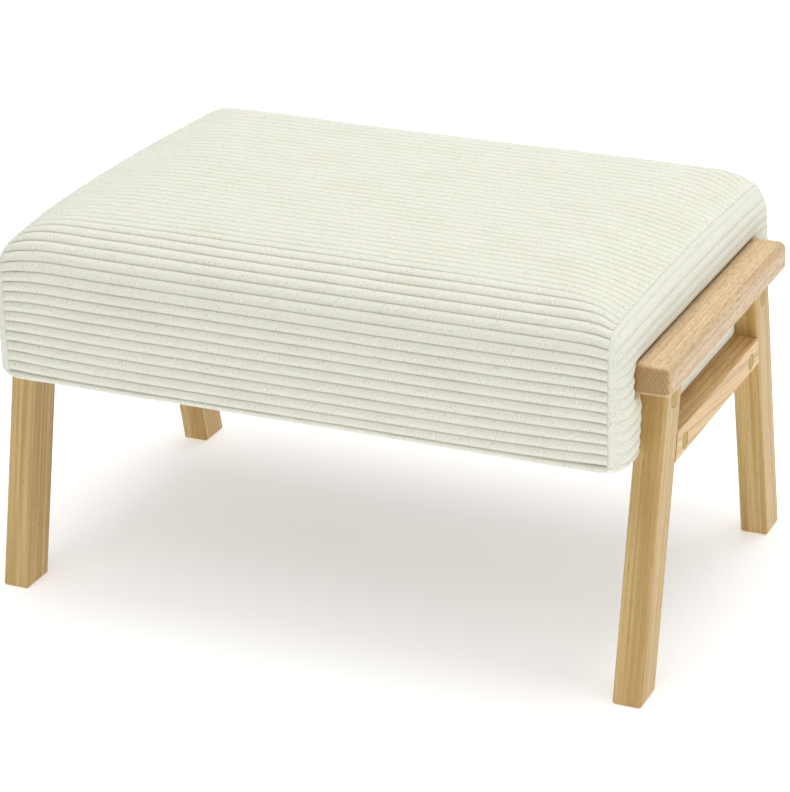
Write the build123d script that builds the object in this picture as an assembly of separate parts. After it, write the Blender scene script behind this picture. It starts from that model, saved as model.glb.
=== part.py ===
from build123d import *
import math
import os

# Upholstered footstool: a thick padded seat bolted between two raked wooden side frames.
# Millimetres. X runs from the left frame to the right one, the front faces -Y and Z is up.
# The origin is on the floor, under the middle of the seat.

# Side frames
frame_width = 600.0  # over the outer faces of the legs
leg_thickness = 25.0
leg_depth = 35.0  # square to the raked edges
leg_rake = 12.3  # degrees, with the feet outward to front and rear
leg_height = 260.5
foot_reach = 189.0  # from the middle of the stool to the outer edge of a foot
leg_edge_radius = 2.5
foot_edge_chamfer = 1.5
top_rail_width = 34.5
top_rail_height = 26.5
top_rail_overhang = 23.0  # past the outer edges of the legs' tops
top_rail_edge_radius = 7.0
top_rail_underside_chamfer = 3.5
top_rail_end_radius = 7.0  # seen from above
hand_gap_height = 48.5  # between the top rail and the lower rail
lower_rail_height = 26.0
lower_rail_edge_radius = 2.0

# Cross rails under the seat
cross_rail_depth = 40.0
cross_rail_height = 19.0
cross_rail_edge_chamfer = 1.5
cross_bolt_inset = 22.0  # from the end of the lower rail to the cross rail's bolt

# Bolts, washers, nuts and caps
bolt_diameter = 6.0
bolt_hole_clearance = 0.25  # all round the shank
bolt_head_diameter = 10.0
bolt_head_height = 6.0
bolt_length = 45.0  # under the head
thread_clearance = 0.1
washer_diameter = 13.0
washer_thickness = 1.2
cap_diameter = 14.5
cap_thickness = 3.0
cap_edge_chamfer = 0.6
cap_clearance = 0.1  # all round, and over the bolt's head
seat_bolt_drop = 15.5  # below the top of the leg
tee_nut_flange_diameter = 19.0
tee_nut_flange_thickness = 1.5
tee_nut_barrel_diameter = 8.0
tee_nut_barrel_length = 10.0
barrel_nut_diameter = 10.0
barrel_nut_length = 13.0
barrel_nut_inset = 22.0  # from the end of the cross rail

# Dowels and screws
dowel_diameter = 6.0
dowel_clearance = 0.05
dowel_end_room = 0.5
dowel_cover = 2.5  # wood left between the dowels and the bolts' counterbores
top_dowel_length = 24.0
top_dowel_spacing = 19.0
lower_dowel_length = 24.0
lower_dowel_spacing = 13.0
screw_diameter = 4.0
screw_head_diameter = 8.0
screw_head_height = 3.0
screw_grip = 18.0  # length held in the brace
screw_hole_clearance = 0.25

# Seat frame
board_thickness = 18.0
bolt_edge_distance = 13.0  # from the seat bolts up to the edge of the boards
brace_offset = 90.0  # from the middle of the seat
corner_block_height = 30.0
corner_block_clearance = 3.0  # to the tee nuts
deck_thickness = 9.0

# Padding and cover
pad_height = 139.0
pad_overhang = 44.0  # past the ends of the top rails, to front and rear
pad_gap = 0.3  # to the side frames
pad_stations = 17  # sections along the width that shape the pad
seat_lap = 5.0  # the lower rails' tops stand this far above the pad's underside
side_roll = 40.0  # width of the border that rolls over to the side seams
border_turn = 67.0  # degrees that the border turns through, from level to the seam
width_crown = 1.5  # fall of the top from the middle to the sides
seam_drop = 18.0  # further fall over the border
seam_draw = 3.0  # front and rear faces drawn in at the side seams
face_bulge = 3.0  # fullness of the front and rear faces
depth_crown = 2.5  # fall of the top from the middle to the front
seam_depth_crown = 9.0  # the same along the side seams
roll_radius = 42.0  # rounded front and rear edges of the top
seam_roll_radius = 18.0  # the same at the side seams
cover_thickness = 3.0
wadding_thickness = 4.0
topper_thickness = 30.0
edge_foam_thickness = 6.0  # at the corners of the seat frame
hem_width = 28.0
dust_cover_thickness = 0.6
dust_cover_margin = 6.0
soft_gap = 0.3  # between soft layers
sheet_gap = 0.1  # between flat sheets
cut_margin = 1.0  # cuts run this far past the faces they open

# Places that follow from the sizes
rake_slope = math.tan(math.radians(leg_rake))
leg_run = leg_depth / math.cos(math.radians(leg_rake))
frame_outer = frame_width / 2
frame_inner = frame_outer - leg_thickness
leg_top_reach = foot_reach - leg_height * rake_slope
top_rail_reach = leg_top_reach + top_rail_overhang
lower_rail_top = leg_height - hand_gap_height
lower_rail_middle = lower_rail_top - lower_rail_height / 2
pad_bottom = lower_rail_top - seat_lap
pad_top = pad_bottom + pad_height
pad_reach = top_rail_reach + pad_overhang
pad_side = frame_inner - pad_gap
dust_cover_top = pad_bottom - sheet_gap
cross_rail_top = dust_cover_top - dust_cover_thickness - sheet_gap
cross_rail_bottom = cross_rail_top - cross_rail_height
cross_bolt_height = cross_rail_top - cross_rail_height / 2
seat_bolt_height = leg_height - seat_bolt_drop


def leg_inner_edge(height):
    return foot_reach - leg_run - height * rake_slope


def leg_middle(height):
    return foot_reach - leg_run / 2 - height * rake_slope


seat_bolt_reach = leg_middle(seat_bolt_height)
cross_bolt_reach = leg_inner_edge(cross_bolt_height) - cross_bolt_inset
under_head = frame_outer - cap_thickness - cap_clearance - bolt_head_height
counterbore_floor = under_head - washer_thickness
dowel_line = counterbore_floor - dowel_cover - dowel_diameter / 2
bolt_hole_diameter = bolt_diameter + 2 * bolt_hole_clearance
thread_diameter = bolt_diameter + 2 * thread_clearance

board_bottom = pad_bottom + cover_thickness + sheet_gap
board_top = seat_bolt_height + bolt_edge_distance
deck_top = board_top + deck_thickness
seat_side = pad_side - cover_thickness - soft_gap
wadding_inset = cover_thickness + soft_gap
foam_inset = wadding_inset + wadding_thickness + soft_gap
seat_reach = pad_reach - seam_draw - face_bulge - foam_inset - edge_foam_thickness
side_board_inner = seat_side - board_thickness
end_board_inner = seat_reach - board_thickness
corner_block_leg = end_board_inner - seat_bolt_reach - tee_nut_flange_diameter / 2 - corner_block_clearance
topper_bottom = pad_top - foam_inset - topper_thickness
hem_reach = pad_reach - face_bulge - hem_width

sides = {"left": -1, "right": 1}
ends = {"front": -1, "rear": 1}


def block(x_span, y_span, z_span):
    size = [max(span) - min(span) for span in (x_span, y_span, z_span)]
    corner = [min(span) for span in (x_span, y_span, z_span)]
    return Pos(*corner) * Box(*size, align=Align.MIN)


def rod(start, direction, diameter, length):
    along = Plane(origin=start, z_dir=direction)
    return along * Cylinder(diameter / 2, length, align=(Align.CENTER, Align.CENTER, Align.MIN))


def save(name, *solids):
    node = solids[0] if len(solids) == 1 else Compound(children=list(solids))
    node.label = name
    export_step(node, os.path.join("parts", name + ".step"))


# Bolts enter the side frames from outside, along X
def bolt_hole(side, reach, height):
    mouth = (side * frame_outer, reach, height)
    inward = (-side, 0, 0)
    shank = rod(mouth, inward, bolt_hole_diameter, frame_outer - under_head + bolt_length + dowel_end_room)
    return shank + rod(mouth, inward, cap_diameter + 2 * cap_clearance, frame_outer - counterbore_floor)


def bolt(side, reach, height):
    inward = (-side, 0, 0)
    head_start = under_head + bolt_head_height
    head = rod((side * head_start, reach, height), inward, bolt_head_diameter, bolt_head_height)
    shank = rod((side * under_head, reach, height), inward, bolt_diameter, bolt_length)
    return head + shank


def washer(side, reach, height):
    start = (side * under_head, reach, height)
    inward = (-side, 0, 0)
    hole = rod(start, inward, bolt_hole_diameter, washer_thickness)
    return rod(start, inward, washer_diameter, washer_thickness) - hole


def bolt_cap(side, reach, height):
    back = (side * (frame_outer - cap_thickness), reach, height)
    disc = rod(back, (side, 0, 0), cap_diameter, cap_thickness)
    rim = disc.edges().filter_by(GeomType.CIRCLE).sort_by(Axis.X)[-1 if side > 0 else 0]
    return chamfer(rim, cap_edge_chamfer)


# Dowels, as (start, direction, length) inside each pair of side-frame pieces
def top_dowel_places(side, end):
    middle = leg_middle(leg_height)
    for offset in (-top_dowel_spacing / 2, top_dowel_spacing / 2):
        start = (side * dowel_line, end * (middle + offset), leg_height - top_dowel_length / 2)
        yield start, (0, 0, 1), top_dowel_length


def lower_dowel_places(side, end):
    for offset in (-lower_dowel_spacing / 2, lower_dowel_spacing / 2):
        height = lower_rail_middle + offset
        joint = leg_inner_edge(height)
        start = (side * dowel_line, end * (joint - lower_dowel_length / 2), height)
        yield start, (0, end, 0), lower_dowel_length


def dowel(start, direction, length):
    return rod(start, direction, dowel_diameter, length)


def dowel_hole(start, direction, length):
    back = [point - dowel_end_room * step for point, step in zip(start, direction)]
    return rod(back, direction, dowel_diameter + 2 * dowel_clearance, length + 2 * dowel_end_room)


# Side frames
def leg(side, end):
    top_inner = leg_top_reach - leg_run
    outline = Polyline(
        (end * foot_reach, 0),
        (end * leg_top_reach, leg_height),
        (end * top_inner, leg_height),
        (end * (foot_reach - leg_run), 0),
        close=True,
    )
    profile = Plane.YZ.offset(side * frame_inner) * make_face(outline)
    shape = extrude(profile, leg_thickness, dir=(side, 0, 0))
    long_edges = [edge for edge in shape.edges() if edge.bounding_box().size.Z > leg_height / 2]
    shape = fillet(long_edges, leg_edge_radius)
    shape = chamfer(shape.faces().sort_by(Axis.Z)[0].edges(), foot_edge_chamfer)
    shape -= bolt_hole(side, end * seat_bolt_reach, seat_bolt_height)
    for place in [*top_dowel_places(side, end), *lower_dowel_places(side, end)]:
        shape -= dowel_hole(*place)
    return shape


def top_rail(side):
    across = (side * frame_inner, side * (frame_inner + top_rail_width))
    shape = block(across, (-top_rail_reach, top_rail_reach), (leg_height, leg_height + top_rail_height))
    shape = fillet(shape.edges().filter_by(Axis.Z), top_rail_end_radius)
    shape = fillet(shape.faces().sort_by(Axis.Z)[-1].edges(), top_rail_edge_radius)
    shape = chamfer(shape.faces().sort_by(Axis.Z)[0].edges(), top_rail_underside_chamfer)
    for end in ends.values():
        for place in top_dowel_places(side, end):
            shape -= dowel_hole(*place)
    return shape


def lower_rail(side):
    bottom = lower_rail_top - lower_rail_height
    outline = Polyline(
        (-leg_inner_edge(bottom), bottom),
        (leg_inner_edge(bottom), bottom),
        (leg_inner_edge(lower_rail_top), lower_rail_top),
        (-leg_inner_edge(lower_rail_top), lower_rail_top),
        close=True,
    )
    profile = Plane.YZ.offset(side * frame_inner) * make_face(outline)
    shape = extrude(profile, leg_thickness, dir=(side, 0, 0))
    shape = fillet(shape.edges().filter_by(Axis.Y), lower_rail_edge_radius)
    for end in ends.values():
        shape -= bolt_hole(side, end * cross_bolt_reach, cross_bolt_height)
        for place in lower_dowel_places(side, end):
            shape -= dowel_hole(*place)
    return shape


# Cross rails, with a barrel nut in each end and a screw up into each brace
def barrel_nut(side, end):
    reach = end * cross_bolt_reach
    foot = (side * (frame_inner - barrel_nut_inset), reach, cross_bolt_height - barrel_nut_length / 2)
    nut = rod(foot, (0, 0, 1), barrel_nut_diameter, barrel_nut_length)
    entry = (side * frame_inner, reach, cross_bolt_height)
    return nut - rod(entry, (-side, 0, 0), thread_diameter, bolt_length)


def barrel_nut_hole(side, end):
    start = (side * (frame_inner - barrel_nut_inset), end * cross_bolt_reach, cross_rail_bottom)
    depth = cross_rail_height / 2 + barrel_nut_length / 2
    return rod(start, (0, 0, 1), barrel_nut_diameter + 2 * dowel_clearance, depth)


def seat_screw(side, end):
    foot = (side * brace_offset, end * cross_bolt_reach, cross_rail_bottom)
    shank_length = board_bottom + screw_grip - cross_rail_bottom
    head = rod(foot, (0, 0, 1), screw_head_diameter, screw_head_height)
    return head + rod(foot, (0, 0, 1), screw_diameter, shank_length)


def seat_screw_hole(side, end):
    foot = (side * brace_offset, end * cross_bolt_reach, cross_rail_bottom)
    shank_length = board_bottom + screw_grip + dowel_end_room - cross_rail_bottom
    head = rod(foot, (0, 0, 1), screw_head_diameter + 2 * screw_hole_clearance, screw_head_height)
    return head + rod(foot, (0, 0, 1), screw_diameter + 2 * screw_hole_clearance, shank_length)


def cross_rail(end):
    middle = end * cross_bolt_reach
    depth_span = (middle - cross_rail_depth / 2, middle + cross_rail_depth / 2)
    shape = block((-frame_inner, frame_inner), depth_span, (cross_rail_bottom, cross_rail_top))
    shape = chamfer(shape.edges().filter_by(Axis.X), cross_rail_edge_chamfer)
    for side in sides.values():
        shape -= bolt_hole(side, middle, cross_bolt_height)
        shape -= barrel_nut_hole(side, end)
        shape -= seat_screw_hole(side, end)
    return shape


# Seat frame
def tee_nut(side, end):
    place = (side * side_board_inner, end * seat_bolt_reach, seat_bolt_height)
    flange = rod(place, (-side, 0, 0), tee_nut_flange_diameter, tee_nut_flange_thickness)
    barrel = rod(place, (side, 0, 0), tee_nut_barrel_diameter, tee_nut_barrel_length)
    entry = (side * frame_inner, end * seat_bolt_reach, seat_bolt_height)
    return flange + barrel - rod(entry, (-side, 0, 0), thread_diameter, bolt_length)


def side_board(side):
    across = (side * side_board_inner, side * seat_side)
    shape = block(across, (-seat_reach, seat_reach), (board_bottom, board_top))
    barrel_hole = tee_nut_barrel_diameter + 2 * dowel_clearance
    for end in ends.values():
        place = (side * side_board_inner, end * seat_bolt_reach, seat_bolt_height)
        shape -= bolt_hole(side, end * seat_bolt_reach, seat_bolt_height)
        shape -= rod(place, (side, 0, 0), barrel_hole, tee_nut_barrel_length)
    return shape


def end_board(end):
    across = (-side_board_inner, side_board_inner)
    return block(across, (end * end_board_inner, end * seat_reach), (board_bottom, board_top))


def brace(side):
    across = (side * brace_offset - board_thickness / 2, side * brace_offset + board_thickness / 2)
    shape = block(across, (-end_board_inner, end_board_inner), (board_bottom, board_top))
    for end in ends.values():
        shape -= seat_screw_hole(side, end)
    return shape


def corner_block(side, end):
    outline = Polyline(
        (side * side_board_inner, end * end_board_inner),
        (side * (side_board_inner - corner_block_leg), end * end_board_inner),
        (side * side_board_inner, end * (end_board_inner - corner_block_leg)),
        close=True,
    )
    return extrude(Plane.XY.offset(board_top) * make_face(outline), corner_block_height, dir=(0, 0, -1))


# Share of the border's fall at one station along X, along a rolled edge
def border_fall(station):
    full_turn = math.radians(border_turn)
    into_border = max(0.0, min(1.0, (abs(station) - pad_side + side_roll) / side_roll))
    turned = math.asin(into_border * math.sin(full_turn))
    return (1 - math.cos(turned)) / (1 - math.cos(full_turn))


# Pad outline at one station along X, inset by the layers that lie outside it
def pad_section(station, inset, bottom):
    border = border_fall(station)
    top = pad_top - inset - width_crown * (station / pad_side) ** 2 - seam_drop * border
    shoulder = top - depth_crown - (seam_depth_crown - depth_crown) * border
    face = pad_reach - inset - seam_draw * border
    edge = face - face_bulge
    radius = roll_radius - inset - (roll_radius - seam_roll_radius) * border
    outline = [
        Line((edge, bottom), (-edge, bottom)),
        ThreePointArc((-edge, bottom), (-face, (bottom + shoulder) / 2), (-edge, shoulder)),
        ThreePointArc((-edge, shoulder), (0, top), (edge, shoulder)),
        ThreePointArc((edge, shoulder), (face, (bottom + shoulder) / 2), (edge, bottom)),
    ]
    section = make_face(outline)
    section = fillet(section.vertices().group_by(Axis.Y)[-1], radius)
    return Plane.YZ.offset(station) * section


# Crowned pad with rolled, drawn-in ends, lofted through stations that lie closer toward the seams
def pad_form(inset, bottom):
    turns = [math.pi * (index / (pad_stations - 1) - 0.5) for index in range(pad_stations)]
    return loft([pad_section(frame_inner * math.sin(turn), inset, bottom) for turn in turns])


def trimmed(shape, half_width):
    return shape & block((-half_width, half_width), (-2 * pad_reach, 2 * pad_reach), (0, 2 * pad_top))


def cover_main_panel():
    shape = trimmed(pad_form(0.0, pad_bottom), pad_side)
    shape -= pad_form(cover_thickness, pad_bottom + cover_thickness)
    hem_span = (-hem_reach, hem_reach)
    return shape - block((-frame_inner, frame_inner), hem_span, (pad_bottom - cut_margin, board_bottom))


def cover_side_panel(side):
    seam = pad_section(side * pad_side, cover_thickness + sheet_gap, board_bottom)
    shape = extrude(seam, cover_thickness, dir=(-side, 0, 0))
    hem_span = (-hem_reach + sheet_gap, hem_reach - sheet_gap)
    outer = side * pad_side
    shape += block((outer, outer - side * cover_thickness), hem_span, (pad_bottom, board_top))
    shape += block((outer, outer - side * hem_width), hem_span, (pad_bottom, pad_bottom + cover_thickness))
    for end in ends.values():
        shape -= bolt_hole(side, end * seat_bolt_reach, seat_bolt_height)
    return shape


def wadding():
    shape = trimmed(pad_form(wadding_inset, board_bottom), seat_side)
    return shape - pad_form(wadding_inset + wadding_thickness, board_bottom - cut_margin)


def foam(depth_span, height_span):
    return foam_form & block((-seat_side, seat_side), depth_span, height_span)


def dust_cover():
    across = pad_side - dust_cover_margin
    reach = pad_reach - seam_draw - face_bulge - dust_cover_margin
    shape = block((-across, across), (-reach, reach), (dust_cover_top - dust_cover_thickness, dust_cover_top))
    for side in sides.values():
        for end in ends.values():
            shape -= seat_screw_hole(side, end)
    return shape


os.makedirs("parts", exist_ok=True)
foam_form = pad_form(foam_inset, board_bottom)

for side_name, side in sides.items():
    seat_bolt_places = [(side, end * seat_bolt_reach, seat_bolt_height) for end in ends.values()]
    cross_bolt_places = [(side, end * cross_bolt_reach, cross_bolt_height) for end in ends.values()]
    bolt_places = seat_bolt_places + cross_bolt_places
    for end_name, end in ends.items():
        save(f"leg_{end_name}_{side_name}", leg(side, end))
    save(f"top_rail_{side_name}", top_rail(side))
    save(f"lower_rail_{side_name}", lower_rail(side))
    top_places = [place for end in ends.values() for place in top_dowel_places(side, end)]
    lower_places = [place for end in ends.values() for place in lower_dowel_places(side, end)]
    save(f"top_rail_dowels_{side_name}", *[dowel(*place) for place in top_places])
    save(f"lower_rail_dowels_{side_name}", *[dowel(*place) for place in lower_places])
    save(f"seat_bolts_{side_name}", *[bolt(*place) for place in seat_bolt_places])
    save(f"cross_rail_bolts_{side_name}", *[bolt(*place) for place in cross_bolt_places])
    save(f"bolt_washers_{side_name}", *[washer(*place) for place in bolt_places])
    save(f"bolt_caps_{side_name}", *[bolt_cap(*place) for place in bolt_places])
    save(f"tee_nuts_{side_name}", *[tee_nut(side, end) for end in ends.values()])
    save(f"barrel_nuts_{side_name}", *[barrel_nut(side, end) for end in ends.values()])
    save(f"seat_board_{side_name}", side_board(side))
    save(f"seat_brace_{side_name}", brace(side))
    save(f"cover_side_panel_{side_name}", cover_side_panel(side))

for end_name, end in ends.items():
    save(f"cross_rail_{end_name}", cross_rail(end))
    save(f"seat_board_{end_name}", end_board(end))
    edge_span = (end * (seat_reach + soft_gap), end * pad_reach)
    save(f"edge_foam_{end_name}", foam(edge_span, (board_bottom, deck_top)))

corners = [(side, end) for side in sides.values() for end in ends.values()]
save("seat_screws", *[seat_screw(side, end) for side, end in corners])
save("corner_blocks", *[corner_block(side, end) for side, end in corners])
save("seat_deck", block((-seat_side, seat_side), (-seat_reach, seat_reach), (board_top, deck_top)))
save("foam_core", foam((-pad_reach, pad_reach), (deck_top + soft_gap, topper_bottom - soft_gap)))
save("foam_topper", foam((-pad_reach, pad_reach), (topper_bottom, pad_top)))
save("wadding", wadding())
save("cover_main_panel", cover_main_panel())
save("dust_cover", dust_cover())
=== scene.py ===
import math

import bmesh
import bpy
import numpy as np
from mathutils import Matrix, Vector, noise


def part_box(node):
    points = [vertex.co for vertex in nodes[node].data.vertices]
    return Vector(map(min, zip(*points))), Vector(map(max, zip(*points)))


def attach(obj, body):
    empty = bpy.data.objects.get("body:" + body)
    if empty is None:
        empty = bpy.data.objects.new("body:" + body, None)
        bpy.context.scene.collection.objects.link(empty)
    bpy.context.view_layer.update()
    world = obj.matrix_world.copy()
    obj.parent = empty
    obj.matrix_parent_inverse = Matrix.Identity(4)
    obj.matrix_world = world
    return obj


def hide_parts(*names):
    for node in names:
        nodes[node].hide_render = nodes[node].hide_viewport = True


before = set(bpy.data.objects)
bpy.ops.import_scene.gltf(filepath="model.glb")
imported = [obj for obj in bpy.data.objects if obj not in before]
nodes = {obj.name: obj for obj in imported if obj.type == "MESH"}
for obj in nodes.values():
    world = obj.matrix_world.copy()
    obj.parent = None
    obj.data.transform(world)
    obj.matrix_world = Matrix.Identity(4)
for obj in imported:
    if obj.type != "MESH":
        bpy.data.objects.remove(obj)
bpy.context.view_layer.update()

# Footstool: corduroy pad between two raked wooden side frames. Metres, as the frame has them.
mm = 0.001


# Shader expressions: a wrapped socket, whose operators add Math nodes
class Sock:
    def __init__(self, tree, out=None):
        self.tree = tree
        self.out = out

    # Adds any other node: settings first, then values or links for its sockets
    def add(self, kind, settings, sockets, out=0):
        made = self.tree.nodes.new("ShaderNode" + kind)
        for name, value in settings.items():
            setattr(made, name, value)
        for key, value in sockets.items():
            if isinstance(value, Sock):
                self.tree.links.new(value.out, made.inputs[key])
            else:
                made.inputs[key].default_value = value
        return Sock(self.tree, made.outputs[out])

    def maths(self, operation, *values):
        return self.add("Math", {"operation": operation}, dict(enumerate(values)))

    def __add__(self, other):
        return self.maths("ADD", self, other)

    def __sub__(self, other):
        return self.maths("SUBTRACT", self, other)

    def __rsub__(self, other):
        return self.maths("SUBTRACT", other, self)

    def __mul__(self, other):
        return self.maths("MULTIPLY", self, other)

    __radd__ = __add__
    __rmul__ = __mul__


def newMaterial(name):
    made = bpy.data.materials.new(name)
    made.use_nodes = True
    return made, Sock(made.node_tree), made.node_tree.nodes["Principled BSDF"]


def mixColour(root, share, first, second):
    return root.add("Mix", {"data_type": "RGBA"}, {0: share, 6: first, 7: second}, 2)


def ramp(root, value, low, high):
    settings = {"interpolation_type": "SMOOTHSTEP"}
    return root.add("MapRange", settings, {"Value": value, "From Min": low, "From Max": high})


def feed(root, shader, **links):
    for name, value in links.items():
        socket = shader.inputs[name.replace("_", " ")]
        if isinstance(value, Sock):
            root.tree.links.new(value.out, socket)
        else:
            socket.default_value = value


def bump(root, height, depth):
    return root.add("Bump", {}, {"Strength": 1.0, "Distance": depth, "Height": height})


# Wood: growth rings round a pith, fibres and pores along the grain, darker end grain.
# A noise is its scale across the grain, its scale along it, and its detail.
grainPattern = {
    "warpNoise": (9, 2.2, 2.0),
    "fibreNoise": (620, 9, 3.0),
    "bandNoise": (60, 1.5, 2.0),
    "streakAlong": 4,
    "streakDetail": 2.0,
    "poreStretch": 0.07,
    "poreDetail": 1.0,
    "poreEdge": 0.09,
    "bandRange": (0.3, 0.7),
    "streakRange": (0.42, 0.68),
    "fibreRange": (0.35, 0.75),
    "endRange": (0.55, 0.9),
    "endShare": 0.62,
    "endRings": 0.25,
    "roughness": 0.36,
    "fibreRoughness": 0.18,
    "poreRoughness": 0.2,
    "fibreRelief": 0.5,
    "reliefDepth": 0.12 * mm,
    "finish": {"Coat_Weight": 0.12, "Coat_Roughness": 0.35, "Specular_IOR_Level": 0.4},
}


def woodMaterial(name, look):
    made, root, shader = newMaterial(name)
    pattern = grainPattern
    coords = root.add("TexCoord", {}, {}, "Object")
    mapped = {"Vector": coords, "Rotation": look["turn"], "Location": look["pith"]}
    turned = root.add("Mapping", {}, mapped)

    def grainNoise(across, along, detail, out=0):
        spread = root.add("Mapping", {}, {"Vector": turned, "Scale": (across, across, along)})
        return root.add("TexNoise", {}, {"Vector": spread, "Scale": 1.0, "Detail": detail}, out)

    def vectorMaths(operation, first, second, out=0):
        return root.add("VectorMath", {"operation": operation}, {0: first, 1: second}, out)

    # distance from the pith, bent a little, counts the rings
    warp = grainNoise(*pattern["warpNoise"], "Color")
    shift = vectorMaths("MULTIPLY", warp, (look["warp"], look["warp"], 0))
    flat = vectorMaths("MULTIPLY", vectorMaths("ADD", turned, shift), (1, 1, 0))
    fromPith = root.add("VectorMath", {"operation": "LENGTH"}, {0: flat}, "Value")
    rings = fromPith * (1 / look["ringWidth"])
    ring = ramp(root, root.maths("FRACT", rings), look["lateWood"], 1.0)

    fibre = grainNoise(*pattern["fibreNoise"])
    streak = grainNoise(look["streakScale"], pattern["streakAlong"], pattern["streakDetail"])
    band = grainNoise(*pattern["bandNoise"])
    poreAlong = look["poreScale"] * pattern["poreStretch"]
    pores = grainNoise(look["poreScale"], poreAlong, pattern["poreDetail"])
    pore = ramp(root, pores, look["poreFrom"], look["poreFrom"] + pattern["poreEdge"])
    facing = root.add("NewGeometry", {}, {}, "Normal")
    along = vectorMaths("DOT_PRODUCT", facing, look["grain"], "Value")
    endGrain = ramp(root, root.maths("ABSOLUTE", along), *pattern["endRange"])

    bandShare = ramp(root, band, *pattern["bandRange"])
    streakShare = ramp(root, streak, *pattern["streakRange"]) * look["streakShare"]
    fibreShare = ramp(root, fibre, *pattern["fibreRange"]) * look["fibreShare"]
    endShare = endGrain * (ring * pattern["endRings"] + pattern["endShare"])
    tone = mixColour(root, bandShare, look["light"], look["streak"])
    tone = mixColour(root, ring * look["ringShare"], tone, look["dark"])
    tone = mixColour(root, streakShare, tone, look["dark"])
    tone = mixColour(root, fibreShare, tone, look["dark"])
    tone = mixColour(root, endShare, tone, look["endTone"])
    tone = mixColour(root, pore * look["poreShare"], tone, look["pore"])
    rough = fibre * pattern["fibreRoughness"] + pore * pattern["poreRoughness"]
    relief = fibre * pattern["fibreRelief"] - pore
    feed(root, shader, Base_Color=tone, Roughness=rough + pattern["roughness"],
         Normal=bump(root, relief, pattern["reliefDepth"]))
    feed(root, shader, **pattern["finish"])
    return made


# Each wood is rubberwood with changes
rubberwood = {
    "rake": math.radians(12.3),
    "light": (0.70, 0.49, 0.195, 1),
    "dark": (0.49, 0.285, 0.085, 1),
    "streak": (0.73, 0.54, 0.245, 1),
    "endTone": (0.38, 0.2, 0.052, 1),
    "pore": (0.27, 0.14, 0.05, 1),
    "ringWidth": 6.2 * mm,
    "ringShare": 0.45,
    "lateWood": 0.4,
    "streakScale": 260,
    "streakShare": 0.65,
    "fibreShare": 0.5,
    "poreScale": 1500,
    "poreFrom": 0.64,
    "poreShare": 0.45,
    "warp": 0.012,
}
topRailWood = {
    **rubberwood,
    "light": (0.78, 0.57, 0.34, 1),
    "dark": (0.6, 0.38, 0.18, 1),
    "streak": (0.82, 0.64, 0.415, 1),
    "ringWidth": 2.8 * mm,
    "ringShare": 0.3,
    "streakShare": 0.45,
    "fibreShare": 0.35,
    "poreScale": 1650,
    "poreFrom": 0.56,
    "poreShare": 0.42,
}
# lower rails: their own orange tone, and made lighter than the legs as painted light against the
# shade under the top rails
lowerRailWood = {
    **rubberwood,
    "light": (0.86, 0.575, 0.27, 1),
    "dark": (0.5, 0.265, 0.085, 1),
    "streak": (0.87, 0.63, 0.325, 1),
    "ringWidth": 6.5 * mm,
    "ringShare": 0.55,
    "lateWood": 0.55,
    "streakShare": 0.3,
    "fibreShare": 0.3,
}
pine = {
    **rubberwood,
    "light": (0.76, 0.6, 0.38, 1),
    "dark": (0.62, 0.42, 0.2, 1),
    "streak": (0.8, 0.66, 0.46, 1),
    "poreShare": 0.1,
}
plywood = {**pine, "ringWidth": 30 * mm, "warp": 0.06}
beech = {**pine, "light": (0.74, 0.56, 0.36, 1), "dark": (0.6, 0.4, 0.22, 1), "poreShare": 0.3}
lowerDowelWood = {**pine, "poreShare": 0.3}

# Where the grain runs, and the turn that brings it upright
alongX = {"grain": (1, 0, 0), "turn": (0, math.radians(90), 0)}
alongY = {"grain": (0, 1, 0), "turn": (math.radians(90), 0, 0)}
upright = {"grain": (0, 0, 1), "turn": (0, 0, 0)}
slanted = {"grain": (0, 1, 0), "turn": (math.radians(96), 0, 0)}  # rings cross the top in arches
piths = {
    "leg": (-0.258, 0.04, 0.1),
    "topRail": (-0.276, 0.252, 0.05),
    "lowerRail": (-0.25, 0.22, 0.1),
    "crossRail": (0.17, 0.1, 0),
    "seat": (0.2, 0.15, 0),
    "seatAcross": (0.2, 0.2, 0),
}


def dressNode(name, material):
    piece = nodes[name]
    piece.data.materials.clear()
    piece.data.materials.append(material)


def dressInWood(node, material, wood, run, pith):
    dressNode(node, woodMaterial(material, {**wood, **run, "pith": pith}))


def dressWood():
    rake = rubberwood["rake"]
    for side, across in (("left", -1), ("right", 1)):
        for end, sign in (("front", -1), ("rear", 1)):
            grain = (0, -sign * math.sin(rake), math.cos(rake))
            raked = {"grain": grain, "turn": (-sign * rake, 0, 0)}
            x, y, z = piths["leg"]
            pith = (x * across, y * sign, z * sign)
            dressInWood(f"leg_{end}_{side}", f"legWood_{end}_{side}", rubberwood, raked, pith)
        x, y, z = piths["topRail"]
        pith = (x * across, y, z * across)
        dressInWood(f"top_rail_{side}", f"topRailWood_{side}", topRailWood, alongY, pith)
        x, y, z = piths["lowerRail"]
        pith = (x * across, y, z * across)
        dressInWood(f"lower_rail_{side}", f"lowerRailWood_{side}", lowerRailWood, slanted, pith)
        dressInWood(f"top_rail_dowels_{side}", f"topDowelWood_{side}", beech,
                    upright, piths["seat"])
        dressInWood(f"lower_rail_dowels_{side}", f"lowerDowelWood_{side}", lowerDowelWood,
                    alongY, piths["seatAcross"])
    for end in ("front", "rear"):
        dressInWood(f"cross_rail_{end}", f"crossRailWood_{end}", rubberwood, alongX,
                    piths["crossRail"])
    for name in ("seat_board_front", "seat_board_rear", "corner_blocks"):
        dressInWood(name, "pine_" + name, pine, alongX, piths["seat"])
    for name in ("seat_board_left", "seat_board_right", "seat_brace_left", "seat_brace_right"):
        dressInWood(name, "pine_" + name, pine, alongY, piths["seatAcross"])
    dressInWood("seat_deck", "plywood", plywood, alongX, piths["seat"])
    print("wood: legs, rails, boards and dowels dressed")


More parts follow.
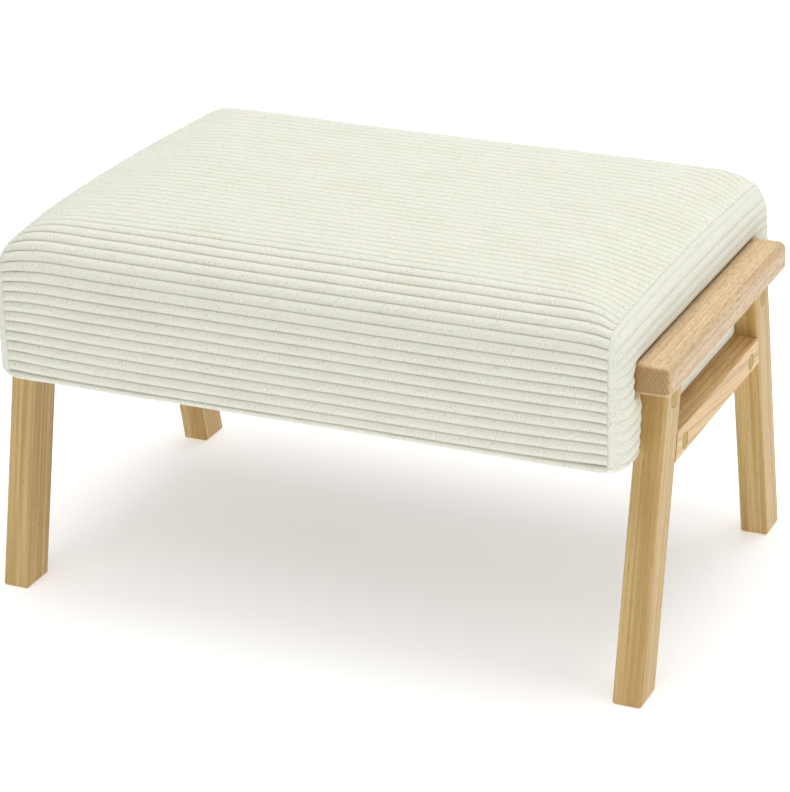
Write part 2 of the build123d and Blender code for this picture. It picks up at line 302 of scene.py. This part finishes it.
# Caps and hardware: a faint cloud in the colour, a fine grain in the finish
caps = {"light": (0.52, 0.365, 0.055, 1), "dark": (0.44, 0.3, 0.04, 1), "rough": 0.4}
zinc = {"light": (0.66, 0.66, 0.64, 1), "dark": (0.5, 0.51, 0.52, 1), "rough": 0.22}
speckle = {
    "grainScale": 900.0,
    "grainDetail": 2.0,
    "cloudScale": 120.0,
    "cloudDetail": 3.0,
    "cloudRange": (0.3, 0.7),
    "roughShare": 0.2,
    "reliefDepth": 0.06 * mm,
}


def speckled(name, look, metallic):
    made, root, shader = newMaterial(name)
    coords = root.add("TexCoord", {}, {}, "Object")

    def spots(scale, detail):
        return root.add("TexNoise", {}, {"Vector": coords, "Scale": scale, "Detail": detail})

    grain = spots(speckle["grainScale"], speckle["grainDetail"])
    cloud = spots(speckle["cloudScale"], speckle["cloudDetail"])
    tone = mixColour(root, ramp(root, cloud, *speckle["cloudRange"]), look["light"], look["dark"])
    feed(root, shader, Base_Color=tone, Roughness=grain * speckle["roughShare"] + look["rough"],
         Normal=bump(root, grain, speckle["reliefDepth"]), Metallic=metallic)
    return made


def dressHardware():
    plastic = speckled("capPlastic", caps, 0.0)
    plated = speckled("zincPlated", zinc, 1.0)
    for side in ("left", "right"):
        dressNode(f"bolt_caps_{side}", plastic)
        for name in ("seat_bolts", "cross_rail_bolts", "bolt_washers", "tee_nuts", "barrel_nuts"):
            dressNode(f"{name}_{side}", plated)
    dressNode("seat_screws", plated)
    print("hardware: caps, bolts, nuts and screws dressed")


# Corduroy: pile strokes across the wales, painted shade in the grooves, a soft sheen.
# A noise is its scale along and across the wales, and its detail.
corduroy = {
    "ridge": (0.88, 0.88, 0.765, 1),
    "groove": (0.41, 0.385, 0.265, 1),
    # painted shade: the dark colour the grooves are mixed toward
    "stroke": (0.65, 0.645, 0.52, 1),
    "tip": (0.95, 0.95, 0.86, 1),
    "strokeNoise": ((950, 300, 1), 2.0),
    "fleckNoise": ((1500, 700, 1), 1.0),
    "clumpNoise": ((80, 110, 1), 2.0),
    "shadeNoise": ((16, 22, 1), 2.0),
    "clumpRange": (0.36, 0.62),
    "brushedGain": 0.8,
    "brushedLeast": 0.2,
    "strokeRange": (0.5, 0.64),
    "strokeShare": 0.5,
    "tipRange": (0.5, 0.4),
    "tipShare": 0.7,
    "fleckRange": (0.56, 0.68),
    "fleckShare": 0.3,
    "shadeRange": (0.45, 0.8),
    "shadeShare": 0.12,
    # painted shade in the grooves: its spread, range, broad variation and share
    "grooveStray": 0.5,
    "grooveRange": (1.0, 0.3),
    "grooveShade": (0.3, 0.7),
    "grooveGain": 0.35,
    "grooveLeast": 0.65,
    "grooveShare": 0.42,
    "roughness": 0.8,
    "strokeRoughness": 0.15,
    "fleckRelief": 0.5,
    "reliefDepth": 0.4 * mm,
    "finish": {"Sheen_Weight": 0.2, "Sheen_Roughness": 0.5, "Specular_IOR_Level": 0.15},
    "waleRound": 2.2,  # a wale's section: round on top
    "waleShoulder": 0.72,  # and steep beside the groove
}


def corduroyMaterial():
    made, root, shader = newMaterial("corduroyPile")
    look = corduroy
    cloth = root.add("UVMap", {"uv_map": "cloth"}, {})
    wale = root.add("Attribute", {"attribute_name": "wale"}, {}, "Fac")

    def pileNoise(scale, detail):
        spread = root.add("Mapping", {}, {"Vector": cloth, "Scale": scale})
        return root.add("TexNoise", {}, {"Vector": spread, "Scale": 1.0, "Detail": detail})

    strokes = pileNoise(*look["strokeNoise"])
    flecks = pileNoise(*look["fleckNoise"])
    clumps = pileNoise(*look["clumpNoise"])
    shade = pileNoise(*look["shadeNoise"])
    brushed = ramp(root, clumps, *look["clumpRange"]) * look["brushedGain"] + look["brushedLeast"]
    # painted shade: the grooves darkened where the pile is low, more or less as a broad noise says
    sunk = ramp(root, wale + strokes * look["grooveStray"], *look["grooveRange"])
    grooveShadeSpread = ramp(root, shade, *look["grooveShade"]) * look["grooveGain"] + look["grooveLeast"]
    strokeShare = ramp(root, strokes, *look["strokeRange"]) * brushed * look["strokeShare"]
    tipShare = ramp(root, strokes, *look["tipRange"]) * brushed * look["tipShare"]
    fleckShare = ramp(root, flecks, *look["fleckRange"]) * brushed * look["fleckShare"]
    shadeShare = ramp(root, shade, *look["shadeRange"]) * look["shadeShare"]
    tone = mixColour(root, strokeShare, look["ridge"], look["stroke"])
    tone = mixColour(root, tipShare, tone, look["tip"])
    tone = mixColour(root, fleckShare, tone, look["stroke"])
    tone = mixColour(root, shadeShare, tone, look["stroke"])
    tone = mixColour(root, sunk * grooveShadeSpread * look["grooveShare"], tone, look["groove"])
    relief = 1 - strokes - flecks * look["fleckRelief"]
    feed(root, shader, Base_Color=tone,
         Roughness=strokes * look["strokeRoughness"] + look["roughness"],
         Normal=bump(root, relief, look["reliefDepth"]))
    feed(root, shader, **look["finish"])
    return made


# Pad: the strip over front, top and rear, closed below and at both ends
padLow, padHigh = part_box("cover_main_panel")
pad = {
    "bottom": padLow.z - 1.2 * mm,
    "top": padHigh.z - 3.8 * mm,
    "reach": padHigh.y - 4.0 * mm,
    "side": padHigh.x - 3.0 * mm,
    "underSide": padHigh.x - 6.0 * mm,
    # border that rolls over to the side seams
    "sideRoll": 32 * mm,
    "turn": math.radians(67),
    "widthCrown": 0.5 * mm,
    "seamDrop": 9.0 * mm,
    "bulge": 1.2 * mm,
    "depthCrown": 1.5 * mm,
    "seamDepthCrown": 7 * mm,
    "roll": 35 * mm,
    "rearRoll": 28 * mm,
    "seamRoll": 18 * mm,
    "arcPoints": 16,
    # the pad leans a little, and its front left corner has settled
    "tilt": 2.2 * mm,
    "cornerDrop": 6.0 * mm,
    "cornerWidth": 40 * mm,
    "cornerDepth": 80 * mm,
    # lower edges hang a little in the middle
    "sag": 1.5 * mm,
    "sagHeight": 60 * mm,
    "sagFrom": 14 * mm,
    "sagFade": 8 * mm,
    # hem turned under the seat
    "hem": 28 * mm,
    "hemRows": 5,
    "hemRise": 2.0 * mm,
    "hemRound": 5 * mm,
    "hemBand": 8.2 * mm,
    # wales, and the rows and columns of the mesh that follow them
    "wales": 66,
    "groove": 0.2,
    "wander": 1.1 * mm,
    "wanderScale": (5, 16),
    "wanderSeed": 3.7,
    "columns": 30,
    "columnShares": (0.55, 0.45),  # crowded toward the ends, and even
    "heldTuck": 0.1,
    "heldEnd": 1 * mm,
    "pressure": 4.0,
    "cap": 5 * mm,
    "smoothLevels": 2,
    # relief after the swelling
    "waleDepth": 2.0 * mm,
    "waleMiddle": 0.75,
    "sewnReach": 16 * mm,
    "sewnDepth": 0.6,
    "seamWidth": 2 * mm,
    "seamLeast": 0.35,
    "seamLight": 0.3,
    "hemLine": 2.2 * mm,
    "hemDepth": 0.5,
    "hemShade": 0.25,
    "hemShadeBelow": 0.9,
    "softNoise": ((16.0, 2, 0.6 * mm), (60.0, 3, 0.25 * mm)),  # scale, seed and depth
    "softFade": 10 * mm,
    "underTuck": 0.02,
}


def circleThrough(first, middle, last):
    (ax, ay), (bx, by), (cx, cy) = first, middle, last
    a, b, c = ax * ax + ay * ay, bx * bx + by * by, cx * cx + cy * cy
    d = 2 * (ax * (by - cy) + bx * (cy - ay) + cx * (ay - by))
    x = (a * (by - cy) + b * (cy - ay) + c * (ay - by)) / d
    y = (a * (cx - bx) + b * (ax - cx) + c * (bx - ax)) / d
    return np.array((x, y)), math.hypot(ax - x, ay - y)


# Half of the pad's outline at x, from the bottom of the rear face to the middle of the top
def halfOutline(x, roll):
    bottom, face, count = pad["bottom"], pad["reach"], pad["arcPoints"]
    into = max(0.0, min(1.0, (abs(x) - pad["side"] + pad["sideRoll"]) / pad["sideRoll"]))
    turned = math.asin(into * math.sin(pad["turn"]))
    border = (1 - math.cos(turned)) / (1 - math.cos(pad["turn"]))
    top = pad["top"] - pad["widthCrown"] * (x / pad["side"]) ** 2 - pad["seamDrop"] * border
    shoulder = top - pad["depthCrown"] - (pad["seamDepthCrown"] - pad["depthCrown"]) * border
    edge = face - pad["bulge"]
    radius = roll - (roll - pad["seamRoll"]) * border
    middle = (face, (bottom + shoulder) / 2)
    faceMid, faceRadius = circleThrough((edge, bottom), middle, (edge, shoulder))
    topMid, topRadius = circleThrough((edge, shoulder), (0, top), (-edge, shoulder))
    # centre of the rounded corner, inside both arcs
    gap = topMid - faceMid
    apart = math.hypot(*gap)
    ra, rb = faceRadius - radius, topRadius - radius
    a = (ra * ra - rb * rb + apart * apart) / (2 * apart)
    h = math.sqrt(max(ra * ra - a * a, 0))
    foot = faceMid + gap * a / apart
    side = np.array((gap[1], -gap[0])) * h / apart
    centre = max((foot + side, foot - side), key=lambda p: p[0] + p[1])
    onFace = faceMid + (centre - faceMid) * faceRadius / ra
    onTop = topMid + (centre - topMid) * topRadius / rb
    z = np.linspace(bottom, onFace[1], count)
    facePart = np.c_[faceMid[0] + np.sqrt(faceRadius ** 2 - (z - faceMid[1]) ** 2), z]
    start = math.atan2(*(onFace - centre)[::-1])
    angles = np.linspace(start, math.atan2(*(onTop - centre)[::-1]), count)[1:]
    rollPart = centre + radius * np.c_[np.cos(angles), np.sin(angles)]
    y = np.linspace(onTop[0], 0, count)[1:]
    topPart = np.c_[y, topMid[1] + np.sqrt(topRadius ** 2 - y ** 2)]
    return np.r_[facePart, rollPart, topPart]


# How far the settled corner drops at x and y, for a point this share of the way up
def cornerDrop(x, y, rise):
    fromSide = min(1.0, max(0.0, 1 - (pad["side"] + x) / pad["cornerWidth"]))
    fromFront = min(1.0, max(0.0, 1 - (pad["reach"] + y) / pad["cornerDepth"]))
    return pad["cornerDrop"] * fromSide * fromFront * rise * rise


# Rows along the outline, 0 to 1: three to each wale, closer beside the grooves
def waleRows(length):
    band = pad["hemBand"] / length
    pitch = (1 - 2 * band) / pad["wales"]
    rows = [0.0, band / 2]
    for wale in range(pad["wales"]):
        rows += [band + pitch * (wale + part) for part in (0.0, pad["groove"], 1 - pad["groove"])]
    return np.array(rows + [1 - band, 1 - band / 2, 1.0]), band * length, pitch * length


# Points of the outline from the front hem to the rear hem, with the wales wandering a little
def outlineRows(x, rows):
    rear = halfOutline(x, pad["rearRoll"])
    line = np.r_[halfOutline(x, pad["roll"]) * (-1, 1), rear[::-1][1:]]
    lengths = np.r_[0, np.cumsum(np.hypot(*np.diff(line, axis=0).T))]
    alongScale, rowScale = pad["wanderScale"]
    spots = [Vector((x * alongScale, row * rowScale, pad["wanderSeed"])) for row in rows]
    stray = np.array([noise.noise(spot) for spot in spots])
    steps = lengths[-1] * rows + stray * pad["wander"] * np.sin(math.pi * rows)
    main = np.c_[np.interp(steps, lengths, line[:, 0]), np.interp(steps, lengths, line[:, 1])]
    hem = np.linspace(pad["hem"], 0, pad["hemRows"] + 1)[:-1]
    under = pad["bottom"] + pad["hemRise"] * np.clip(hem / pad["hemRound"], 0, 1)
    frontHem = np.c_[main[0, 0] + hem, under]
    rearHem = np.c_[main[-1, 0] - hem[::-1], under[::-1]]
    return np.r_[frontHem, main, rearHem], lengths[-1]


# Grid whose points place() gives, with each one's spot on the cloth. The third value, trim, is
# the strip's tuck under the seat, or a side panel's distance from its rim.
def gridPiece(columns, rows, place):
    bm = bmesh.new()
    bmesh.ops.create_grid(bm, x_segments=columns, y_segments=rows, size=1.0)
    layers = [bm.verts.layers.float.new(key) for key in ("clothU", "clothV", "trim")]
    for vert in bm.verts:
        column = round((vert.co.x + 1) / 2 * columns)
        row = round((vert.co.y + 1) / 2 * rows)
        vert.co, values = place(column, row)
        for layer, value in zip(layers, values):
            vert[layer] = value
    return bm


def finishMesh(bm, name):
    bmesh.ops.recalc_face_normals(bm, faces=bm.faces)
    mesh = bpy.data.meshes.new(name)
    bm.to_mesh(mesh)
    bm.free()
    piece = bpy.data.objects.new(name, mesh)
    bpy.context.scene.collection.objects.link(piece)
    return piece


def coordinates(mesh):
    points = np.zeros(len(mesh.vertices) * 3)
    mesh.vertices.foreach_get("co", points)
    return points.reshape(-1, 3)


def setCoordinates(mesh, points):
    mesh.vertices.foreach_set("co", points.ravel())
    mesh.update()


def readAttribute(mesh, key):
    values = np.zeros(len(mesh.vertices))
    mesh.attributes[key].data.foreach_get("value", values)
    return values


# Cloth under pressure, with held vertices pinned and every move capped
swelling = {"quality": 4, "mass": 0.3, "frames": 20}


def inflate(piece, held, pressure, cap):
    group = piece.vertex_groups.new(name="held")
    group.add([int(i) for i in np.nonzero(held)[0]], 1.0, "REPLACE")
    rest = coordinates(piece.data)
    cloth = piece.modifiers.new("inflate", "CLOTH")
    cloth.settings.quality = swelling["quality"]
    cloth.settings.mass = swelling["mass"]
    cloth.settings.use_pressure = True
    cloth.settings.uniform_pressure_force = pressure
    cloth.settings.vertex_group_mass = "held"
    cloth.settings.effector_weights.gravity = 0
    cloth.collision_settings.use_collision = False
    scene = bpy.context.scene
    for step in range(1, swelling["frames"] + 1):
        scene.frame_set(step)
    swollen = piece.evaluated_get(bpy.context.evaluated_depsgraph_get()).to_mesh()
    move = coordinates(swollen) - rest
    piece.modifiers.remove(cloth)
    scene.frame_set(1)
    far = np.linalg.norm(move, axis=1)
    move *= (cap * np.tanh(far / cap) / np.maximum(far, 1e-9))[:, None]
    setCoordinates(piece.data, rest + move)
    piece.vertex_groups.clear()
    print(f"{piece.name}: swelled up to {np.linalg.norm(move, axis=1).max() / mm:.1f} mm")


def subdivide(piece, levels):
    smooth = piece.modifiers.new("smooth", "SUBSURF")
    smooth.levels = levels
    smooth.render_levels = levels
    shown = piece.evaluated_get(bpy.context.evaluated_depsgraph_get())
    mesh = bpy.data.meshes.new_from_object(shown)
    piece.modifiers.clear()
    old = piece.data
    piece.data = mesh
    mesh.name = piece.name
    bpy.data.meshes.remove(old)


def vertexNormals(mesh):
    normals = np.zeros(len(mesh.vertices) * 3)
    mesh.vertex_normals.foreach_get("vector", normals)
    return normals.reshape(-1, 3)


# Height of the pile, 0 in a groove and 1 on a ridge, for a place counted in wales
def waleHeight(place):
    across = np.abs(2 * (place - np.floor(place)) - 1)
    return (1 - across ** corduroy["waleRound"]) ** corduroy["waleShoulder"]


noiseStep = (3.7, 1.3, 2.1)  # moves the noise on for each seed


def noiseAt(points, scale, seed):
    shift = Vector([seed * step for step in noiseStep])
    return np.array([noise.noise(Vector(p) * scale + shift) for p in points])


# What the corduroy's material reads: a UV map in metres of cloth, and the pile's height, from which
# it paints shade in the grooves
def storeCloth(mesh, u, v, wale):
    layer = mesh.attributes.new("wale", "FLOAT", "POINT")
    layer.data.foreach_set("value", wale.astype(np.float32))
    uv = mesh.uv_layers.new(name="cloth")
    corner = np.zeros(len(mesh.loops), int)
    mesh.loops.foreach_get("vertex_index", corner)
    uv.data.foreach_set("uv", np.c_[u[corner], v[corner]].astype(np.float32).ravel())


# Flat ends behind the side panels, once the strip has its form
def closeEnds(mesh):
    mesh.shade_smooth()
    bm = bmesh.new()
    bm.from_mesh(mesh)
    rims = [edge for edge in bm.edges if edge.is_boundary]
    for face in bmesh.ops.holes_fill(bm, edges=rims, sides=0)["faces"]:
        face.smooth = False
    bm.to_mesh(mesh)
    bm.free()


def makeStrip(material):
    hemRows, columns, width = pad["hemRows"], pad["columns"], pad["side"]
    crowded, even = pad["columnShares"]
    stations = width * np.sin(np.linspace(-math.pi / 2, math.pi / 2, columns + 1))
    stations = crowded * stations + even * np.linspace(-width, width, columns + 1)
    length = outlineRows(0.0, np.array((0.0, 1.0)))[1]
    rows, band, pitch = waleRows(length)
    lines = [outlineRows(x, rows)[0] for x in stations]
    last = len(rows) - 1

    def place(column, row):
        x = stations[column]
        y, z = lines[column][row]
        rise = max(0.0, (z - pad["bottom"]) / (pad["top"] - pad["bottom"]))
        lift = pad["tilt"] * (-x / width) * rise - cornerDrop(x, y, rise)
        v = length * rows[min(max(row - hemRows, 0), last)]
        low = max(0.0, 1 - (z - pad["bottom"]) / pad["sagHeight"])
        outer = np.clip((abs(y) - pad["reach"] + pad["sagFrom"]) / pad["sagFade"], 0, 1)
        drop = pad["sag"] * (1 - (x / width) ** 2) * low * outer
        tuck = max(hemRows - row, row - hemRows - last, 0) / hemRows
        across = x * (1 - tuck * (1 - pad["underSide"] / width))
        return (across, y, z + lift - drop), (x, v, tuck)

    def runsAcross(edge):
        return abs(edge.verts[0].co.x - edge.verts[1].co.x) > 0.01 * mm

    bm = gridPiece(columns, last + 2 * hemRows, place)
    # closes the underside between the hems
    hems = [edge for edge in bm.edges if edge.is_boundary and runsAcross(edge)]
    bmesh.ops.bridge_loops(bm, edges=hems)
    piece = finishMesh(bm, "cushion_strip")
    tucked = readAttribute(piece.data, "trim") > pad["heldTuck"]
    held = tucked | (np.abs(readAttribute(piece.data, "clothU")) > width - pad["heldEnd"])
    inflate(piece, held, pad["pressure"], pad["cap"])
    subdivide(piece, pad["smoothLevels"])
    mesh = piece.data
    points = coordinates(mesh)
    u, v = readAttribute(mesh, "clothU"), readAttribute(mesh, "clothV")
    height = waleHeight((v - band) / pitch)
    fromEnd = np.maximum(width - np.abs(u), 0)
    sewn = np.exp(-fromEnd / pad["sewnReach"])
    # the turned hem stands below a deeper last groove
    fromHem = np.minimum(v, length - v)
    hemLine = np.exp(-((fromHem - band) / pad["hemLine"]) ** 2)
    gather = 1 + pad["sewnDepth"] * sewn + pad["hemDepth"] * hemLine
    depth = pad["waleDepth"] * gather * np.clip(fromEnd / pad["seamWidth"], pad["seamLeast"], 1)
    soft = sum(noiseAt(points, scale, seed) * deep for scale, seed, deep in pad["softNoise"])
    soft *= np.clip(fromEnd / pad["softFade"], 0, 1)
    under = readAttribute(mesh, "trim") > pad["underTuck"]
    move = np.where(under, 0, (height - pad["waleMiddle"]) * depth + soft)
    setCoordinates(mesh, points + vertexNormals(mesh) * move[:, None])
    closeEnds(mesh)
    hemShade = pad["hemShade"] * hemLine * (height < pad["hemShadeBelow"])
    seamLight = pad["seamLight"] * np.exp(-fromEnd / pad["seamWidth"])
    storeCloth(mesh, u, v, height - hemShade + seamLight)
    mesh.materials.append(material)
    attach(piece, "root")
    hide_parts("cover_main_panel", "wadding", "foam_topper", "foam_core",
                "edge_foam_front", "edge_foam_rear")
    print(f"cushion strip: {len(mesh.polygons)} faces, {pad['wales']} wales of {pitch / mm:.2f} mm")
    return pitch


# Side panels: sewn into the ends of the strip, bulging where no wood holds them
panel = {
    "plane": padHigh.x,
    "seamPlane": padHigh.x - 3.0 * mm,
    "inset": -0.1 * mm,
    "bottomRise": 1.5 * mm,
    "topRoom": 1.5 * mm,
    # flat back inside the strip's end, a little smaller than the front
    "backPlane": padHigh.x - 3.2 * mm,
    "backShare": 0.975,
    "columns": 40,
    "columnShares": (0.6, 0.4),  # crowded toward the corners, and even
    "knee": 0.72,
    "edgeRound": 0.1 * mm,
    "edgeWidth": 24 * mm,
    "edgePower": 0.8,
    "faceWidth": 15 * mm,
    "foot": 4 * mm,
    "footTuck": 0.4,
    "fullness": 11.5 * mm,
    "topFullness": 7.0 * mm,
    # wood that holds the cloth flat
    "legDepth": 35 * mm,
    "railEase": 4.2 * mm,
    "woodGap": 3 * mm,
    "woodSlope": 2.0,
    "softness": 5 * mm,
    "heldGap": 2 * mm,
    "heldRim": 0.05,
    "pressure": 3.0,
    "cap": 2 * mm,
    "smoothLevels": 2,
    # relief after the swelling
    "waleDepth": 1.5 * mm,
    "rimDepth": (0.35, 0.65),  # least at the rim, and what is gained inside it
    "softNoise": (26.0, 5),  # scale and seed
    "softDepth": 0.5 * mm,
    "waleTone": (0.3, 0.7),  # in a groove, and what a ridge adds
    "rimLight": 0.4,
    "rimReach": 4,
}
railLow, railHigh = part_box("top_rail_right")
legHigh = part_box("leg_rear_right")[1]
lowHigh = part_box("lower_rail_right")[1]


# Distance from a point of the side to the wood that holds it, the same left and right
def woodDistance(y, z):
    y = np.abs(y)
    lean = rubberwood["rake"]
    outer = legHigh.y - z * math.tan(lean)
    run = panel["legDepth"] / math.cos(lean)
    beside = np.maximum(railLow.z - z, z - railHigh.z + panel["railEase"])
    rail = np.hypot(np.maximum(y - railHigh.y + panel["railEase"], 0), np.maximum(beside, 0))
    aside = np.maximum(np.maximum(y - outer, outer - run - y), 0) * math.cos(lean)
    leg = np.hypot(aside, np.maximum(z - legHigh.z, 0))
    low = np.hypot(np.maximum(y - outer, 0), np.maximum(z - lowHigh.z, 0))
    return np.minimum(np.minimum(rail, leg), low)


def makePanel(side, across, pitch, material):
    columns = panel["columns"]
    crowded, even = panel["columnShares"]
    half = halfOutline(pad["side"], pad["roll"])
    face, over = half[:pad["arcPoints"]], half[pad["arcPoints"] - 1:][::-1]
    reach = face[-1, 0] - panel["inset"]
    bottom = pad["bottom"] + panel["bottomRise"]
    full = half[-1, 1] - panel["inset"] - bottom
    band = pad["hemBand"]
    wales = int((full - band) / pitch)
    parts = [k + part for k in range(wales + 1) for part in (0.0, pad["groove"], 1 - pad["groove"])]
    heights = [band + pitch * part for part in parts]
    heights = [h for h in heights if h < full - panel["topRoom"]]
    heights = np.array([0.0, band / 2] + heights + [full])

    def topAt(y):
        return np.interp(abs(y), over[:, 0], over[:, 1]) - panel["inset"]

    def place(column, row):
        turn = math.pi * (column / columns - 0.5)
        y = reach * (crowded * math.sin(turn) + even * (2 * column / columns - 1))
        height = topAt(y) - bottom
        # wales stay level, and close up only under the seam
        knee = height * panel["knee"]
        level = heights[row]
        if level > knee:
            level = knee + (level - knee) * (height - knee) / (full - knee)
        z = bottom + level
        rise = (z - pad["bottom"]) / (pad["top"] - pad["bottom"])
        lift = pad["tilt"] * -across * rise - cornerDrop(across * pad["side"], y, rise)
        rim = min(reach - abs(y), height - level) / panel["edgeWidth"]
        fromSeam = min(1.0, max(0.0, height - level) / panel["edgeWidth"])
        fromFace = min(1.0, (reach - abs(y)) / panel["faceWidth"])
        free = 1 - math.exp(-woodDistance(y, z) / panel["softness"])
        rounded = math.sin(math.pi / 2 * fromSeam) ** panel["edgePower"]
        rounded *= math.sqrt(max(0.0, 1 - (1 - fromFace) ** 2))
        fullness = panel["fullness"] + (panel["topFullness"] - panel["fullness"]) * level / full
        out = panel["plane"] + fullness * free
        x = panel["seamPlane"] + (out - panel["seamPlane"]) * rounded
        x -= panel["edgeRound"] * (1 - rounded)
        footed = max(0.0, 1 - level / panel["foot"])
        x -= fullness * panel["footTuck"] * free * footed ** 2
        y *= np.interp(z, face[:, 1], face[:, 0]) / face[-1, 0]
        return (across * x, y, z + lift), (y, heights[row], rim)

    bm = gridPiece(columns, len(heights) - 1, place)
    layer = bm.verts.layers.float.new("back")
    crease = bm.edges.layers.float.new("crease_edge")
    for edge in bm.edges:
        edge[crease] = 1.0 if edge.is_boundary else 0.0
    shell = bmesh.ops.extrude_face_region(bm, geom=bm.faces[:])
    for vert in [part for part in shell["geom"] if isinstance(part, bmesh.types.BMVert)]:
        vert[layer] = 1.0
        height = bottom + (vert.co.z - bottom) * panel["backShare"]
        vert.co = (across * panel["backPlane"], vert.co.y * panel["backShare"], height)
    piece = finishMesh(bm, f"cushion_side_{side}")
    mesh = piece.data
    points = coordinates(mesh)
    wood = woodDistance(points[:, 1], points[:, 2])
    held = (readAttribute(mesh, "back") > 0.5) | (wood < panel["heldGap"])
    held |= readAttribute(mesh, "trim") < panel["heldRim"]
    inflate(piece, held, panel["pressure"], panel["cap"])
    subdivide(piece, panel["smoothLevels"])
    mesh = piece.data
    points = coordinates(mesh)
    front = readAttribute(mesh, "back") < 0.5
    u, v = readAttribute(mesh, "clothU"), readAttribute(mesh, "clothV")
    rim = np.clip(readAttribute(mesh, "trim"), 0, 1)
    height = waleHeight((v - band) / pitch)
    soft = np.minimum(noiseAt(points, *panel["softNoise"]) * panel["softDepth"], 0)
    least, gain = panel["rimDepth"]
    depth = panel["waleDepth"] * (least + gain * rim)
    move = np.where(front, (height - 1.0) * depth + soft, 0)
    # behind the wood the cloth lies flat, and it swells only clear of it
    clear = np.maximum(woodDistance(points[:, 1], points[:, 2]) - panel["woodGap"], 0)
    out = np.minimum(across * points[:, 0] + move, panel["plane"] + clear * panel["woodSlope"])
    points[:, 0] = across * out
    setCoordinates(mesh, points)
    base, share = panel["waleTone"]
    light = panel["rimLight"] * np.clip(1 - panel["rimReach"] * rim, 0, 1)
    storeCloth(mesh, u, v, base + share * height + light)
    mesh.materials.append(material)
    mesh.shade_smooth()
    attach(piece, "root")
    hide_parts(f"cover_side_panel_{side}")
    print(f"side panel {side}: {len(mesh.polygons)} faces")


# Dust cloth: thin, stretched flat under the seat
dustCloth = {
    "thread": (0.035, 0.035, 0.037, 1),
    "light": (0.07, 0.07, 0.073, 1),
    "fibreNoise": {"Scale": 700.0, "Detail": 4.0, "Distortion": 2.0},
    "fibreRange": (0.35, 0.7),
    "dotScale": 420.0,
    "roughness": 0.75,
    "fibreRoughness": 0.2,
    "reliefDepth": 0.1 * mm,
    "columns": 90,
    "rows": 64,
    "drop": 0.05 * mm,
    "thickness": 0.3 * mm,
}


def dustClothMaterial():
    look = dustCloth
    made, root, shader = newMaterial("dustClothFibre")
    coords = root.add("TexCoord", {}, {}, "Object")
    fibres = root.add("TexNoise", {}, {"Vector": coords, **look["fibreNoise"]})
    dots = root.add("TexVoronoi", {}, {"Vector": coords, "Scale": look["dotScale"]})
    tone = mixColour(root, ramp(root, fibres, *look["fibreRange"]), look["thread"], look["light"])
    feed(root, shader, Base_Color=tone,
         Roughness=fibres * look["fibreRoughness"] + look["roughness"],
         Normal=bump(root, fibres + dots, look["reliefDepth"]))
    return made


def makeDustCloth():
    low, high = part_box("dust_cover")
    size = high - low
    columns, rows = dustCloth["columns"], dustCloth["rows"]

    def place(column, row):
        x = low.x + size.x * column / columns
        y = low.y + size.y * row / rows
        return (x, y, high.z - dustCloth["drop"]), (x, y)

    piece = finishMesh(gridPiece(columns, rows, place), "dust_cloth")
    wall = piece.modifiers.new("thickness", "SOLIDIFY")
    wall.thickness = dustCloth["thickness"]
    wall.offset = 1.0
    piece.data.materials.append(dustClothMaterial())
    piece.data.shade_smooth()
    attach(piece, "root")
    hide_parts("dust_cover")
    print("dust cloth laid")


# Camera at the photograph's angle
shot = {
    "place": (0.95184, -2.06677, 1.13497),
    "target": (0.0259, -0.0533, 0.1791),
    "roll": math.radians(-1.416),
    "lens": 127.34,
    "sensor": 36,
    "clip": (0.05, 60),
}


def makeCamera():
    lens = bpy.data.cameras.new("shotCamera")
    lens.lens = shot["lens"]
    lens.sensor_width = shot["sensor"]
    lens.clip_start, lens.clip_end = shot["clip"]
    camera = bpy.data.objects.new("shotCamera", lens)
    bpy.context.scene.collection.objects.link(camera)
    ahead = (Vector(shot["target"]) - Vector(shot["place"])).normalized()
    right = ahead.cross(Vector((0, 0, 1))).normalized()
    up = right.cross(ahead)
    turn, lean = math.cos(shot["roll"]), math.sin(shot["roll"])
    axes = Matrix((right * turn + up * lean, up * turn - right * lean, -ahead)).transposed()
    camera.matrix_world = Matrix.Translation(shot["place"]) @ axes.to_4x4()
    bpy.context.scene.camera = camera


# Plain pale floor and soft studio light
studio = {
    "floorSize": 12.0,
    "floor": {
        "Base_Color": (0.93, 0.93, 0.93, 1),
        "Roughness": 0.9,
        "Specular_IOR_Level": 0.1,
        "Emission_Color": (1, 1, 1, 1),
        "Emission_Strength": 0.42,
    },
    "sky": (1, 1, 1, 1),
    "world": 0.38,
    # place, size and power
    "lamps": [
        ("keyLamp", (-0.3, -1.5, 2.9), 2.0, 16),
        ("sideLamp", (2.7, -0.6, 0.9), 1.6, 9),
        ("topLamp", (0.2, 0.5, 3.2), 2.6, 52),
    ],
    "lampTarget": (0, 0, 0.2),
}


def makeStudio():
    bm = bmesh.new()
    bmesh.ops.create_grid(bm, x_segments=2, y_segments=2, size=studio["floorSize"])
    floor = finishMesh(bm, "floor")
    made, root, shader = newMaterial("paleFloor")
    feed(root, shader, **studio["floor"])
    floor.data.materials.append(made)
    world = bpy.data.worlds.new("studioWorld")
    world.use_nodes = True
    background = world.node_tree.nodes["Background"]
    background.inputs["Color"].default_value = studio["sky"]
    background.inputs["Strength"].default_value = studio["world"]
    bpy.context.scene.world = world
    for name, place, size, power in studio["lamps"]:
        lamp = bpy.data.lights.new(name, "AREA")
        lamp.shape = "DISK"
        lamp.size = size
        lamp.energy = power
        lit = bpy.data.objects.new(name, lamp)
        lit.location = place
        aim = Vector(studio["lampTarget"]) - Vector(place)
        lit.rotation_euler = aim.to_track_quat("-Z", "Y").to_euler()
        bpy.context.scene.collection.objects.link(lit)
    bpy.context.scene.view_settings.view_transform = "Standard"
    print("studio: floor, lamps and camera set")


makeCamera()
makeStudio()
dressWood()
dressHardware()
pile = corduroyMaterial()
pitch = makeStrip(pile)
makePanel("left", -1, pitch, pile)
makePanel("right", 1, pitch, pile)
makeDustCloth()
